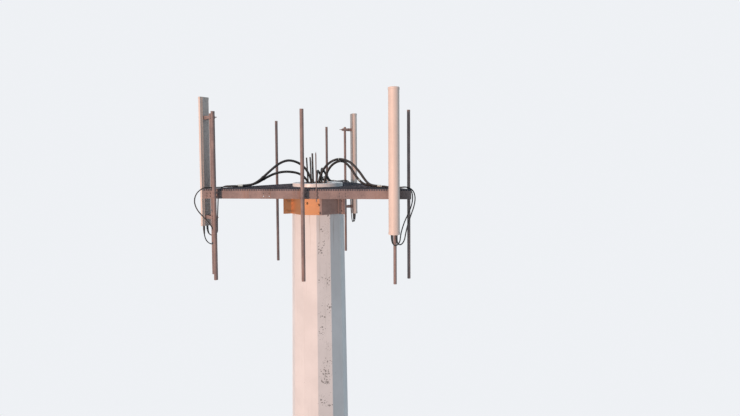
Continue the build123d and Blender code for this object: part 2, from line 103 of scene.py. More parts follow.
def add_camera():
    """The camera; its frame is shifted so that the lens looks at the photograph's lens row."""
    ahead = HEADING * math.cos(PITCH) + Vector((0, 0, -math.sin(PITCH)))
    right = Vector((HEADING.y, -HEADING.x, 0))
    above = right.cross(ahead)
    right, above = right - ROLL * above, above + ROLL * right
    data = bpy.data.cameras.new("camera")
    data.sensor_width = SENSOR_WIDTH
    data.lens = FOCAL_LENGTH
    data.shift_y = (LENS_ROW - PHOTO_HEIGHT / 2) / PHOTO_WIDTH
    data.clip_end = VIEW_END
    camera = bpy.data.objects.new("camera", data)
    camera.rotation_mode = "QUATERNION"
    camera.location = CAMERA_PLACE
    camera.rotation_quaternion = Matrix((right, above, -ahead)).transposed().to_quaternion()
    scene.collection.objects.link(camera)
    scene.camera = camera


# Procedural materials. Colours are linear, noise and cells are scaled to metres, and heights are from the
# ground. The painted sun glint and the mildew reach so many radians to either side of their directions.
NOISE_ROUGHNESS = 0.55
COLLAR_RADIUS = 0.80
COLLAR_TOP = DECK - 0.17
COLLAR_LOW = (DECK - 0.77, DECK - 0.67)
COLLAR_EDGE = 0.01
# Collar plates that look this way get a painted orange glint of the low sun
PAINTED_GLINT_TURN = -118
PAINTED_GLINT_REACH = (math.radians(43), math.radians(45))
PAINTED_GLINT = (0.50, 0.23, 0.09)
MILDEW_TURN = -66
MILDEW_REACH = (0.20, 0.34)
DRIPS_FROM = (DECK - 1.5, DECK - 0.6)
PAINT_DULL, PAINT_CLEAN = (0.74, 0.73, 0.72), (0.82, 0.81, 0.80)
STREAK, DRIP = (0.46, 0.45, 0.42), (0.42, 0.36, 0.30)
MILDEW, FINE_MILDEW = (0.14, 0.13, 0.12), (0.24, 0.23, 0.21)
JACKET, JACKET_DUST = (0.012, 0.012, 0.013), (0.075, 0.070, 0.065)
STEEL_ZINC = ((0.33, 0.245, 0.225), (0.21, 0.165, 0.16), (0.29, 0.15, 0.10))
# Grating zinc is darker and bluer than the beams' zinc: painted shade of the deck
GRATING_ZINC_PAINTED_SHADE = ((0.10, 0.105, 0.135), (0.05, 0.055, 0.07), (0.09, 0.06, 0.045))


class Shader:
    """A material's node tree, with short ways to add and link its nodes."""

    def __init__(self, name):
        self.material = bpy.data.materials.new(name)
        self.material.use_nodes = True
        self.nodes = self.material.node_tree.nodes
        self.links = self.material.node_tree.links
        self.surface = self.nodes["Principled BSDF"]
        self.place = self.nodes.new("ShaderNodeTexCoord").outputs["Object"]

    def feed(self, node, key, value):
        """Give an input a value, or link an output to it."""
        if isinstance(value, bpy.types.NodeSocket):
            self.links.new(value, node.inputs[key])
        else:
            node.inputs[key].default_value = value

    def add(self, kind, inputs=(), **settings):
        """A new node; inputs are (input, value or output) pairs."""
        node = self.nodes.new(kind)
        for key, value in settings.items():
            setattr(node, key, value)
        for key, value in inputs:
            self.feed(node, key, value)
        return node

    def math(self, operation, *values):
        """Result of a Math node."""
        return self.add("ShaderNodeMath", enumerate(values), operation=operation).outputs[0]

    def plus(self, first, second):
        return self.math("ADD", first, second)

    def less(self, first, second):
        return self.math("SUBTRACT", first, second)

    def times(self, first, second):
        return self.math("MULTIPLY", first, second)

    def vector(self, operation, *pairs):
        """Node for a sum on vectors."""
        return self.add("ShaderNodeVectorMath", pairs, operation=operation)

    def axes(self):
        """X, Y and Z of the object coordinates."""
        outputs = self.add("ShaderNodeSeparateXYZ", (("Vector", self.place),)).outputs
        return outputs["X"], outputs["Y"], outputs["Z"]

    def turned_from(self, turn):
        """Radians round the pole's axis from a direction."""
        x, y, _ = self.axes()
        return self.math("ABSOLUTE", self.less(self.math("ARCTAN2", y, x), math.radians(turn)))

    def stretched(self, scale):
        """Object coordinates scaled along each axis."""
        return self.add("ShaderNodeMapping", (("Vector", self.place), ("Scale", scale))).outputs[0]

    def warped(self, scale, reach):
        """Object coordinates pushed about by noise, which makes round cells ragged."""
        pairs = (("Vector", self.place), ("Scale", scale), ("Detail", 4.0))
        push = self.add("ShaderNodeTexNoise", pairs).outputs["Color"]
        shift = self.vector("SUBTRACT", (0, push), (1, (0.5, 0.5, 0.5))).outputs[0]
        far = self.vector("SCALE", (0, shift), ("Scale", reach)).outputs[0]
        return self.vector("ADD", (0, self.place), (1, far)).outputs[0]

    def noise(self, scale, detail=4.0, vector=None):
        """Noise from 0 to 1."""
        pairs = (("Vector", vector or self.place), ("Scale", scale), ("Detail", detail),
                 ("Roughness", NOISE_ROUGHNESS))
        return self.add("ShaderNodeTexNoise", pairs).outputs["Fac"]

    def cells(self, scale, output="Distance", vector=None):
        """Voronoi cells."""
        pairs = (("Vector", vector or self.place), ("Scale", scale))
        return self.add("ShaderNodeTexVoronoi", pairs).outputs[output]

    def band(self, value, low, high):
        """0 below low, 1 above high, and smooth between."""
        pairs = (("Value", value), ("From Min", low), ("From Max", high))
        return self.add("ShaderNodeMapRange", pairs, interpolation_type="SMOOTHSTEP").outputs["Result"]

    def drop(self, value, low, high):
        """1 below low, 0 above high, and smooth between."""
        return self.less(1.0, self.band(value, low, high))

    def between(self, value, low, high):
        """A value from 0 to 1 brought between low and high."""
        pairs = (("Value", value), ("To Min", low), ("To Max", high))
        return self.add("ShaderNodeMapRange", pairs).outputs["Result"]

    def mix(self, factor, first, second):
        """Colour between two colours."""
        pairs = ((0, factor), (6, first), (7, second))
        return self.add("ShaderNodeMix", pairs, data_type="RGBA").outputs[2]

    def finish(self, colour, roughness, metallic=0.0, gloss=0.5):
        """Give the surface its colour, roughness, metal and gloss."""
        self.feed(self.surface, "Base Color", colour)
        self.feed(self.surface, "Roughness", roughness)
        self.feed(self.surface, "Metallic", metallic)
        self.feed(self.surface, "Specular IOR Level", gloss)
        return self.material

    def bump(self, height, strength, distance):
        """A fine relief."""
        pairs = (("Strength", strength), ("Distance", distance), ("Height", height))
        node = self.add("ShaderNodeBump", pairs)
        self.links.new(node.outputs[0], self.surface.inputs["Normal"])


def rgb(red, green, blue):
    """A colour as the sockets take it."""
    return (red, green, blue, 1.0)


def tinted(share, colour):
    """A colour made lighter or darker."""
    return rgb(*[share * part for part in colour])


def zinc(s, light, dark, warm):
    """Dull zinc: clouded patina, soft spangle and a rust tint in the runs."""
    spangle = s.add("ShaderNodeSeparateColor", (("Color", s.cells(55.0, "Color")),)).outputs["Red"]
    runs = s.noise(9.0, 5.0, s.stretched((1.0, 1.0, 0.15)))
    base = s.mix(s.band(s.noise(3.2, 6.0), 0.35, 0.68), rgb(*dark), rgb(*light))
    flecked = s.mix(s.times(spangle, 0.22), base, tinted(1.5, light))
    return s.mix(s.times(s.band(runs, 0.52, 0.78), 0.5), flecked, rgb(*warm))


def grating():
    """Zinc of the grating, painted darker and bluer than the beams' as the shade of the deck."""
    s = Shader("grating")
    s.bump(s.noise(160.0, 3.0), 0.08, 0.0008)
    return s.finish(zinc(s, *GRATING_ZINC_PAINTED_SHADE), s.between(s.noise(40.0, 3.0), 0.50, 0.68), gloss=0.25)


def on_collar(s):
    """1 on the collar round the pole, 0 on all other steel."""
    x, y, z = s.axes()
    level = s.add("ShaderNodeCombineXYZ", (("X", x), ("Y", y))).outputs[0]
    out = s.vector("LENGTH", (0, level)).outputs["Value"]
    near = s.drop(out, COLLAR_RADIUS, COLLAR_RADIUS + COLLAR_EDGE)
    under = s.drop(z, COLLAR_TOP, COLLAR_TOP + COLLAR_EDGE)
    return s.times(s.times(near, under), s.band(z, *COLLAR_LOW))


def galvanised():
    """Dull zinc, smoother on the collar, with a painted sun glint on the collar plates facing the left
    front.
    """
    s = Shader("galvanised")
    collar = on_collar(s)
    # Painted glint: orange mixed into the zinc where the collar faces the low sun
    glint_mask = s.times(collar, s.drop(s.turned_from(PAINTED_GLINT_TURN), *PAINTED_GLINT_REACH))
    glint_share = s.times(glint_mask, s.between(s.noise(6.0, 5.0), 0.6, 1.0))
    worn = s.between(s.noise(40.0, 3.0), 0.50, 0.68)
    bright = s.between(s.noise(12.0, 4.0), 0.28, 0.42)
    rough = s.plus(worn, s.times(collar, s.less(bright, worn)))
    metal = s.plus(0.06, s.times(glint_mask, 0.35))
    s.bump(s.noise(160.0, 3.0), 0.08, 0.0008)
    return s.finish(s.mix(glint_share, zinc(s, *STEEL_ZINC), rgb(*PAINTED_GLINT)), rough, metal, 0.25)


def spots(s, ragged, share, clusters, sizes, scale, edge):
    """Ragged spots in clusters: 1 inside a spot, 0 outside."""
    size = s.times(share, s.between(clusters, *sizes))
    return s.drop(s.less(s.cells(scale, vector=ragged), size), *edge)


def pole_paint():
    """Off-white paint with mildew and streaks, thickest on the facet that looks to the front."""
    s = Shader("painted_pole")
    facet = s.drop(s.turned_from(MILDEW_TURN), *MILDEW_REACH)
    share = s.plus(s.times(facet, 0.75), s.times(s.band(s.noise(1.1), 0.38, 0.66), 0.30))
    ragged = s.warped(30.0, 0.055)
    coarse = spots(s, ragged, share, s.band(s.noise(4.5), 0.42, 0.72), (0.02, 0.56), 24.0, (-0.08, 0.04))
    fine = spots(s, ragged, share, s.band(s.noise(6.0, 3.0), 0.40, 0.70), (0.04, 0.36), 70.0, (-0.06, 0.05))
    streaks = s.band(s.noise(14.0, 5.0, s.stretched((1.0, 1.0, 0.07))), 0.56, 0.80)
    drips = s.band(s.noise(16.0, 3.0, s.stretched((1.0, 1.0, 0.03))), 0.56, 0.68)
    below_collar = s.times(s.band(s.axes()[2], *DRIPS_FROM), 0.55)
    colour = s.mix(s.band(s.noise(1.6, 5.0), 0.3, 0.7), rgb(*PAINT_DULL), rgb(*PAINT_CLEAN))
    colour = s.mix(s.times(streaks, s.between(share, 0.12, 0.45)), colour, rgb(*STREAK))
    colour = s.mix(s.times(drips, below_collar), colour, rgb(*DRIP))
    colour = s.mix(s.times(coarse, 0.75), colour, rgb(*MILDEW))
    colour = s.mix(s.times(fine, 0.5), colour, rgb(*FINE_MILDEW))
    s.bump(s.noise(60.0), 0.10, 0.0015)
    return s.finish(colour, s.between(s.noise(22.0), 0.40, 0.62))


def pale_shell(name, colour, stain, low_rough, high_rough):
    """Weathered pale shell: chalky clouds, faint runs and a fine grain."""
    s = Shader(name)
    cloud = s.band(s.noise(2.4, 5.0), 0.35, 0.70)
    runs = s.band(s.noise(18.0, 4.0, s.stretched((1.0, 1.0, 0.05))), 0.55, 0.80)
    base = s.mix(cloud, rgb(*colour), tinted(0.94, colour))
    s.bump(s.noise(220.0, 2.0), 0.08, 0.0006)
    return s.finish(s.mix(s.times(runs, 0.35), base, rgb(*stain)),
                    s.between(s.noise(30.0, 3.0), low_rough, high_rough))


def jacket():
    """Black cable jacket, dusty on top and faintly ribbed by its lay."""
    s = Shader("cable_jacket")
    normal = s.add("ShaderNodeNewGeometry").outputs["Normal"]
    upward = s.band(s.add("ShaderNodeSeparateXYZ", (("Vector", normal),)).outputs["Z"], 0.2, 1.0)
    dust = s.times(upward, s.band(s.noise(24.0, 5.0), 0.40, 0.75))
    s.bump(s.noise(120.0, 3.0), 0.15, 0.0008)
    return s.finish(s.mix(s.times(dust, 0.5), rgb(*JACKET), rgb(*JACKET_DUST)),
                    s.between(s.noise(45.0, 3.0), 0.34, 0.56))


def plated(name, colour, low_rough, high_rough, metallic=1.0):
    """Plated or bright metal with handling marks."""
    s = Shader(name)
    tone = s.mix(s.band(s.noise(35.0, 5.0), 0.40, 0.70), rgb(*colour), tinted(0.72, colour))
    s.bump(s.noise(260.0, 2.0), 0.08, 0.0004)
    return s.finish(tone, s.between(s.noise(80.0, 3.0), low_rough, high_rough), metallic)


MATERIALS = {
    "painted_pole": pole_paint(),
    "galvanised": galvanised(),
    "grating": grating(),
    "cap_white": pale_shell("cap_white", (0.88, 0.88, 0.88), (0.56, 0.53, 0.48), 0.26, 0.42),
    # The radome's peach tint is partly painted warm sunlight on a paler shell
    "radome": pale_shell("radome", (0.83, 0.70, 0.62), (0.58, 0.50, 0.44), 0.42, 0.60),
    "antenna_back": plated("antenna_back", (0.42, 0.40, 0.39), 0.42, 0.60, 0.5),
    "cable_jacket": jacket(),
    "connector": plated("connector", (0.72, 0.69, 0.62), 0.24, 0.42),
}


def dress_frame():
    """Give every node of the frame the material of its slot."""
    for part in frame["record"]["subparts"]:
        node = frame["nodes"][part["node"]]
        node.data.materials.clear()
        node.data.materials.append(MATERIALS[part["material_slot"]])


def dress(piece, slot):
    """Give a piece the material of its slot, and let it ride with the tower."""
    piece.data.materials.append(MATERIALS[slot])
    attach(piece, "root")
    return piece


# Largest angles between faces that are shaded smooth
ROUND_FORMS = 40
BOLT_FORMS = 35
# How far an added solid sinks into what carries it, and stops short of an edge
SINK = 0.001


class Solids:
    """Corners and faces of one piece, gathered solid by solid."""

    def __init__(self):
        self.corners = []
        self.faces = []

    def join(self, rings, loop=False):
        """Join rings of the same number of points by faces; the ends meet in a loop or get lids."""
        start, count = len(self.corners), len(rings[0])
        for ring in rings:
            self.corners.extend(ring)
        for level in range(len(rings) if loop else len(rings) - 1):
            low, high = start + level * count, start + (level + 1) % len(rings) * count
            for at in range(count):
                after = (at + 1) % count
                self.faces.append((low + at, low + after, high + after, high + at))
        if not loop:
            self.faces.append(tuple(range(start + count - 1, start - 1, -1)))
            last = start + (len(rings) - 1) * count
            self.faces.append(tuple(range(last, last + count)))

    def lathe(self, foot, profile, sides, turn=0.0):
        """Revolve (radius, height) pairs round the local Z of foot."""
        self.join([[foot @ point for point in circle(radius, sides, height, turn)]
                    for radius, height in profile])

    def block(self, foot, low, high):
        """A block between two corners in the local axes of foot."""
        (x0, y0, z0), (x1, y1, z1) = low, high
        outline = ((x0, y0), (x1, y0), (x1, y1), (x0, y1))
        self.join([[foot @ Vector((x, y, z)) for x, y in outline] for z in (z0, z1)])

    def piece(self, name, slot, smooth=None):
        """The finished object; smooth is the largest angle that is shaded smooth."""
        mesh = bpy.data.meshes.new(name)
        mesh.from_pydata([tuple(corner) for corner in self.corners], [], self.faces)
        mesh.validate()
        mesh.update()
        if smooth is not None:
            mesh.shade_smooth()
            mesh.set_sharp_from_angle(angle=math.radians(smooth))
        made = bpy.data.objects.new(name, mesh)
        scene.collection.objects.link(made)
        return dress(made, slot)


def foot_at(point, axis, across=None):
    """Axes with Z along axis, and X along across where it is given."""
    axis = axis.normalized()
    if across is None:
        across = axis.orthogonal()
    across = (across - axis * across.dot(axis)).normalized()
    turned = Matrix((across, axis.cross(across), axis)).transposed().to_4x4()
    return Matrix.Translation(point) @ turned


# Forms of nuts, washers and threads. Apart from the numbers of sides they are shares: of a nut's radius and
# height, of a washer's thickness, and of a thread's radius and pitch.
NUT_SIDES = 6
NUT_END = 0.90
NUT_CHAMFER = 0.14
WASHER_SIDES = 20
WASHER_EDGE = 0.25
THREAD_SIDES = 12
THREAD_ROOT = 0.86
THREAD_TIP = 0.70
THREAD_CREST = 0.5
THREAD_GROOVE = 0.95


def add_nut(solids, foot, rise, across, height, turn=0.0):
    """A nut or a head across its flats, with chamfered ends; turn is in radians."""
    radius = across / math.sqrt(3)
    end = radius * NUT_END
    profile = ((end, rise), (radius, rise + height * NUT_CHAMFER),
               (radius, rise + height * (1 - NUT_CHAMFER)), (end, rise + height))
    solids.lathe(foot, profile, NUT_SIDES, turn)


def add_washer(solids, foot, rise, radius, thickness):
    """A round washer with a soft edge."""
    edge = thickness * WASHER_EDGE
    profile = ((radius - edge, rise), (radius, rise + edge), (radius, rise + thickness - edge),
               (radius - edge, rise + thickness))
    solids.lathe(foot, profile, WASHER_SIDES)


def add_thread(solids, foot, low, high, radius, pitch):
    """A threaded end: ridges at the pitch, and a chamfered tip."""
    root = radius * THREAD_ROOT
    turns = max(1, int((high - low) / pitch))
    profile = [(root, low)]
    for step in range(turns):
        base = low + (high - low) * step / turns
        profile += [(radius, base + pitch * THREAD_CREST), (root, base + pitch * THREAD_GROOVE)]
    profile.append((radius * THREAD_TIP, high))
    solids.lathe(foot, profile, THREAD_SIDES)


def add_bolt(solids, foot, rows, rise=0.0, turn=0.0):
    """What is on one bolt, raised above foot; turn is added to that of its nuts."""
    for kind, start, *sizes in rows:
        if kind == "washer":
            add_washer(solids, foot, rise + start, *sizes)
        elif kind == "nut":
            across, height, own_turn = sizes
            add_nut(solids, foot, rise + start, across, height, own_turn + turn)
        else:
            end, radius, pitch = sizes
            add_thread(solids, foot, rise + start, rise + end, radius, pitch)


# What is on each kind of bolt, from its seat up. All rows have their start height, then:
# washers their radius and thickness, nuts their width across flats, height and turn in radians,
# and threads their end height, radius and pitch.
FEEDER_COUPLING = (
    ("washer", 0.004, 0.0295, 0.009), ("nut", 0.022, 0.050, 0.016, 0.2),
    ("washer", 0.048, 0.0290, 0.007), ("nut", 0.068, 0.032, 0.014, 0.6))
COVER_SCREW = (("washer", 0.0, 0.012, 0.0025), ("nut", 0.0025, 0.018, 0.0075, 0.4))
COLLAR_ROD = (
    ("washer", 0.0, 0.021, 0.004), ("nut", 0.004, 0.032, 0.017, 0.3), ("nut", 0.022, 0.032, 0.012, 0.7),
    ("thread", 0.034, 0.0517, 0.0104, 0.0025))
COLLAR_BOLT = (
    ("washer", 0.0, 0.031, 0.005), ("nut", 0.005, 0.046, 0.019, 0.25),
    ("thread", 0.024, 0.036, 0.014, 0.003))
BEAM_BOLT_HEAD = (("washer", 0.0, 0.0165, 0.003), ("nut", 0.003, 0.024, 0.010, 0.0))
BEAM_BOLT_TAIL = (
    ("washer", 0.0, 0.0165, 0.003), ("nut", 0.003, 0.024, 0.013, 0.2),
    ("thread", 0.016, 0.028, 0.008, 0.002))
U_BOLT_TAIL = (
    ("washer", 0.0, 0.0125, 0.0025), ("nut", 0.0025, 0.019, 0.010, 0.5),
    ("thread", 0.0125, 0.030, 0.006, 0.00175))
BRACKET_BOLT_HEAD = (("washer", 0.0, 0.0145, 0.003), ("nut", 0.003, 0.022, 0.011, 0.15))
BRACKET_BOLT_TAIL = (
    ("washer", 0.0, 0.0145, 0.003), ("nut", 0.003, 0.022, 0.011, 0.35), ("nut", 0.014, 0.022, 0.008, 0.75),
    ("thread", 0.022, 0.06655, 0.00735, 0.002))
PORT_COUPLING = (
    ("washer", 0.009, 0.021, 0.004), ("nut", 0.015, 0.032, 0.016, 0.3), ("washer", 0.035, 0.0155, 0.003))
SADDLE_BOLT = (("nut", 0.0, 0.011, 0.005, 0.0),)

# Cables. A feeder row gives its length and its route's points; a jumper row also the feeder it starts from.
# Points are x, y and up. A jumper's first two points lie on its feeder's connector and are added later.
FEEDER = 0.050
JUMPER = 0.022
FEEDER_CONNECTOR = 0.090
JUMPER_LEAD = 0.090
CABLE_STEPS = 10
CABLE_ROUNDNESS = 3
FEEDER_ROUTES = {
    "feeder_left_upper": (2.342, (
        (-0.090, -0.060, -0.420), (-0.095, -0.065, -0.120), (-0.115, -0.080, 0.180),
        (-0.260, -0.140, 0.465), (-0.510, -0.250, 0.590), (-0.715, -0.340, 0.530), (-0.930, -0.435, 0.330),
        (-1.080, -0.505, 0.175), (-1.240, -0.574, 0.068), (-1.400, -0.640, 0.064))),
    "feeder_left_lower": (2.055, (
        (-0.160, 0.020, -0.420), (-0.165, 0.015, -0.150), (-0.190, 0.000, 0.100), (-0.340, -0.070, 0.290),
        (-0.590, -0.180, 0.345), (-0.820, -0.285, 0.315), (-1.010, -0.375, 0.215), (-1.170, -0.447, 0.110),
        (-1.320, -0.512, 0.066), (-1.470, -0.575, 0.063))),
    "feeder_right_upper": (2.386, (
        (0.020, -0.120, -0.420), (0.025, -0.120, -0.120), (0.055, -0.135, 0.180), (0.210, -0.205, 0.465),
        (0.470, -0.310, 0.610), (0.760, -0.440, 0.555), (0.965, -0.528, 0.345), (1.090, -0.583, 0.165),
        (1.205, -0.634, 0.068), (1.350, -0.697, 0.064))),
    "feeder_right_lower": (2.154, (
        (0.150, -0.060, -0.420), (0.150, -0.060, -0.120), (0.165, -0.070, 0.170), (0.250, -0.110, 0.380),
        (0.390, -0.170, 0.520), (0.600, -0.270, 0.570), (0.770, -0.350, 0.410), (0.910, -0.417, 0.195),
        (1.070, -0.495, 0.068), (1.240, -0.580, 0.063))),
    "feeder_back_upper": (2.002, (
        (0.060, 0.110, -0.420), (0.060, 0.115, -0.120), (0.050, 0.140, 0.170), (0.020, 0.270, 0.350),
        (-0.010, 0.490, 0.400), (-0.010, 0.730, 0.310), (0.010, 0.930, 0.180), (0.035, 1.110, 0.092),
        (0.050, 1.260, 0.066), (0.060, 1.390, 0.064))),
    "feeder_back_lower": (1.927, (
        (-0.060, 0.120, -0.420), (-0.060, 0.125, -0.120), (-0.060, 0.150, 0.150), (-0.075, 0.280, 0.310),
        (-0.110, 0.500, 0.350), (-0.120, 0.740, 0.270), (-0.110, 0.940, 0.150), (-0.090, 1.110, 0.086),
        (-0.070, 1.260, 0.066), (-0.060, 1.380, 0.063))),
}
JUMPER_ROUTES = {
    "jumper_left_one": ("feeder_left_upper", 2.707, (
        (-1.755, -0.770, 0.047), (-1.830, -0.900, 0.047), (-1.895, -1.005, 0.051), (-1.965, -1.080, 0.061),
        (-2.060, -1.130, 0.020), (-2.150, -1.150, -0.090), (-2.185, -1.130, -0.240),
        (-2.120, -1.130, -0.390), (-1.990, -1.170, -0.500), (-1.850, -1.210, -0.610),
        (-1.775, -1.200, -0.740), (-1.760, -1.165, -0.880), (-1.790, -1.110, -1.000),
        (-1.880, -1.020, -1.060), (-2.010, -0.920, -1.060), (-2.120, -0.830, -1.000),
        (-2.181, -0.760, -0.890), (-2.181, -0.760, -0.772))),
    "jumper_left_two": ("feeder_left_lower", 1.578, (
        (-1.760, -0.640, 0.066), (-1.855, -0.665, 0.020), (-1.898, -0.690, -0.110),
        (-1.895, -0.715, -0.290), (-1.900, -0.725, -0.450), (-1.912, -0.722, -0.610),
        (-1.918, -0.712, -0.760), (-1.925, -0.700, -0.892), (-2.033, -0.695, -0.955),
        (-2.141, -0.691, -0.892), (-2.141, -0.691, -0.772))),
    "jumper_right_one": ("feeder_right_upper", 1.996, (
        (1.610, -0.822, 0.047), (1.720, -0.880, 0.045), (1.820, -0.920, 0.051), (1.935, -0.958, 0.065),
        (2.040, -1.005, 0.000), (2.078, -1.040, -0.130), (2.055, -1.095, -0.280), (2.000, -1.165, -0.430),
        (1.945, -1.235, -0.590), (1.905, -1.295, -0.750), (1.881, -1.333, -0.892), (1.815, -1.421, -0.955),
        (1.749, -1.509, -0.892), (1.749, -1.509, -0.782))),
    "jumper_right_two": ("feeder_right_lower", 2.156, (
        (1.590, -0.715, 0.047), (1.690, -0.780, 0.045), (1.795, -0.850, 0.051), (1.900, -0.915, 0.065),
        (2.000, -0.950, 0.010), (2.030, -0.985, -0.120), (2.010, -1.040, -0.270), (1.950, -1.105, -0.415),
        (1.880, -1.175, -0.560), (1.830, -1.235, -0.710), (1.808, -1.290, -0.820), (1.801, -1.333, -0.915),
        (1.735, -1.421, -0.970), (1.669, -1.509, -0.905), (1.669, -1.509, -0.782))),
    "jumper_back_one": ("feeder_back_upper", 1.901, (
        (0.095, 1.670, 0.047), (0.160, 1.750, 0.046), (0.235, 1.810, 0.053), (0.320, 1.865, 0.065),
        (0.395, 1.920, -0.005), (0.425, 1.955, -0.140), (0.435, 1.975, -0.300), (0.440, 1.985, -0.470),
        (0.448, 1.985, -0.640), (0.456, 1.978, -0.800), (0.464, 1.980, -0.962), (0.468, 2.090, -1.025),
        (0.472, 2.200, -0.962), (0.472, 2.200, -0.852))),
    "jumper_back_two": ("feeder_back_lower", 2.054, (
        (-0.045, 1.660, 0.047), (0.010, 1.740, 0.045), (0.090, 1.815, 0.046), (0.180, 1.885, 0.051),
        (0.265, 1.940, 0.065), (0.340, 1.990, -0.005), (0.372, 2.008, -0.135), (0.385, 2.015, -0.300),
        (0.388, 2.020, -0.470), (0.394, 2.030, -0.650), (0.402, 2.042, -0.820), (0.418, 2.052, -0.985),
        (0.425, 2.160, -1.048), (0.432, 2.269, -0.975), (0.432, 2.269, -0.852))),
}

# Weatherproof sleeves as (distance along the cable, radius): from the connector, and from the port
START_SLEEVE = (
    (0.000, 0.0135), (0.003, 0.0185), (0.070, 0.0185), (0.120, 0.0150), (0.205, 0.0140), (0.215, 0.0108))
PORT_SLEEVE = (
    (-0.030, 0.0165), (-0.026, 0.0205), (0.030, 0.0205), (0.085, 0.0165), (0.125, 0.0150), (0.132, 0.0108))
SLEEVE_SIDES = 18

# Straps: two feeders, or one twice, with the distances back from their ends; width, thickness and slot.
# A strap's head is sized by the strap's width, and is a few layers thick.
STRAP_STEPS = 14
HEAD_ACROSS = 0.6
HEAD_ALONG = 0.7
HEAD_LAYERS = 3
STRAPS = (
    (("feeder_left_upper", 0.451), ("feeder_left_lower", 0.484), 0.034, 0.006, "cable_jacket"),
    (("feeder_right_upper", 1.056), ("feeder_right_lower", 0.966), 0.014, 0.0015, "connector"),
    (("feeder_right_lower", 0.347), ("feeder_right_lower", 0.347), 0.030, 0.0020, "connector"),
    (("feeder_back_upper", 0.450), ("feeder_back_lower", 0.450), 0.034, 0.006, "cable_jacket"),
)


def raised(points):
    """Route points with their heights taken from the ground."""
    return [Vector(point) + UP * DECK for point in points]


def connector_axis(points):
    """Where a feeder ends, and the direction in which its connector points."""
    end, before = Vector(points[-1]), Vector(points[-2])
    return end + UP * DECK, (end - before).normalized()


def hang(node, points, diameter):
    """One cable on its route, in place of its CAD node."""
    curve = bpy.data.curves.new(node + "_line", "CURVE")
    curve.dimensions = "3D"
    spline = curve.splines.new("NURBS")
    spline.points.add(len(points) - 1)
    for point, at in zip(spline.points, points):
        point.co = (*at, 1.0)
    spline.order_u = 3
    spline.use_endpoint_u = True
    spline.resolution_u = CABLE_STEPS
    curve.bevel_depth = diameter / 2
    curve.bevel_resolution = CABLE_ROUNDNESS
    curve.use_fill_caps = True
    piece = bpy.data.objects.new(node + "_cable", curve)
    scene.collection.objects.link(piece)
    dress(piece, "cable_jacket")
    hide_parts(node)
    return piece


def add_coupling(node, points):
    """The clamp rings and coupling nuts on a feeder's connector."""
    rings = Solids()
    add_bolt(rings, foot_at(*connector_axis(points)), FEEDER_COUPLING)
    return rings.piece(node + "_connector", "connector", BOLT_FORMS)


def route_line(piece):
    """Points along the middle line of a cord, read from its spline."""
    line = piece.data.copy()
    line.bevel_depth = 0
    holder = bpy.data.objects.new("line", line)
    points = [vertex.co.copy() for vertex in holder.to_mesh().vertices]
    holder.to_mesh_clear()
    bpy.data.objects.remove(holder)
    bpy.data.curves.remove(line)
    return points


def add_cables():
    """All feeders and jumpers; returns the middle line of each."""
    lines = {}
    for node, (length, points) in FEEDER_ROUTES.items():
        coupling = add_coupling(node, points)
        cable = hang(node, raised(points), FEEDER)
        lines[node] = route_line(cable)
    for node, (feeder, length, points) in JUMPER_ROUTES.items():
        end, ahead = connector_axis(FEEDER_ROUTES[feeder][1])
        start = end + ahead * FEEDER_CONNECTOR
        route = [start, start + ahead * JUMPER_LEAD, *raised(points)]
        lines[node] = route_line(hang(node, route, JUMPER))
    return lines


def on_line(line, distance):
    """Point and direction on a line at a distance from its start."""
    for first, second in zip(line, line[1:]):
        step = (second - first).length
        if distance <= step:
            return first.lerp(second, distance / step), (second - first).normalized()
        distance -= step
    return line[-1], (line[-1] - line[-2]).normalized()


def add_sleeve(solids, line, profile):
    """A sleeve shrunk round the start of a cord: (distance, radius) pairs along its line."""
    across = on_line(line, 0)[1].orthogonal()
    rings = []
    for distance, radius in profile:
        foot = foot_at(*on_line(line, distance), across)
        rings.append([foot @ point for point in circle(radius, SLEEVE_SIDES)])
    solids.join(rings)


def add_jumper_sleeves(lines):
    """Sleeves on both ends of the jumpers; those at the ports reach past the cable's end."""
    sleeves = Solids()
    past = -PORT_SLEEVE[0][0]
    for node in JUMPER_ROUTES:
        add_sleeve(sleeves, lines[node], START_SLEEVE)
        back = lines[node][::-1]
        tip = back[0] + (back[0] - back[1]).normalized() * past
        add_sleeve(sleeves, [tip, *back], [(distance + past, radius) for distance, radius in PORT_SLEEVE])
    sleeves.piece("jumper_sleeves", "cable_jacket", ROUND_FORMS)


def add_strap(solids, first, second, heading, radius, width, thickness):
    """A flat strap pulled round two cables that run side by side, or round one, with its head."""
    spread = second - first
    spread -= heading * spread.dot(heading)
    half = spread.length / 2
    foot = foot_at((first + second) / 2, heading, spread if half > 0 else None)
    arc = [math.pi * (step / STRAP_STEPS - 0.5) for step in range(STRAP_STEPS + 1)]
    rings = []
    for reach, level in ((radius, -1), (radius + thickness, -1), (radius + thickness, 1), (radius, 1)):
        ring = [(half + reach * math.cos(angle), reach * math.sin(angle)) for angle in arc]
        ring += [(-x, -y) for x, y in ring]
        rings.append([foot @ Vector((x, y, level * width / 2)) for x, y in ring])
    solids.join(rings, loop=True)
    across, along = width * HEAD_ACROSS, width * HEAD_ALONG
    solids.block(foot, (-across, radius, -along), (across, radius + thickness * HEAD_LAYERS, along))


def add_feeder_straps(lines):
    """Straps round the feeders, one piece to each material."""
    for slot in ("cable_jacket", "connector"):
        straps = Solids()
        for (one, at_one), (other, at_other), width, thickness, kind in STRAPS:
            if kind == slot:
                first, heading = on_line(lines[one][::-1], at_one)
                second = on_line(lines[other][::-1], at_other)[0]
                add_strap(straps, first, second, heading, FEEDER / 2, width, thickness)
        straps.piece("feeder_straps_" + slot, slot, ROUND_FORMS)


